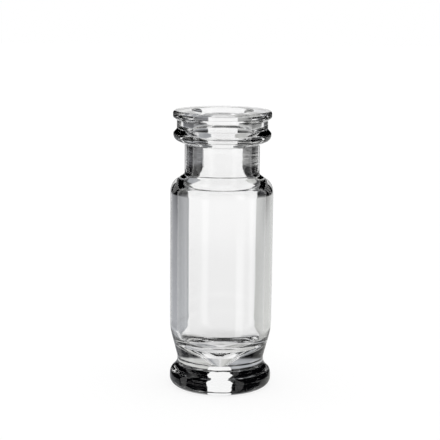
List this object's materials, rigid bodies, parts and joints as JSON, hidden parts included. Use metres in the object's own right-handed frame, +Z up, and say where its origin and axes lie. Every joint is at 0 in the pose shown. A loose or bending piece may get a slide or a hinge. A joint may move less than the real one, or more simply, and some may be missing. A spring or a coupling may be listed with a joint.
{
  "type": "glass sample vial",
  "caption": "Small clear glass sample vial with a crimp and snap neck finish, a conical bore bottom and a solid flared foot.",
  "frame": {"origin": "centre of the underside of the foot, on the vial's axis", "axes": "+Z up along the vial's axis, from the foot to the lip"},
  "size_m": [0.0118, 0.0118, 0.032],
  "materials": {
    "clear_glass": "clear, fire polished"
  },
  "bodies": {
    "root": {"vial": "clear_glass"}
  },
  "joints": []
}
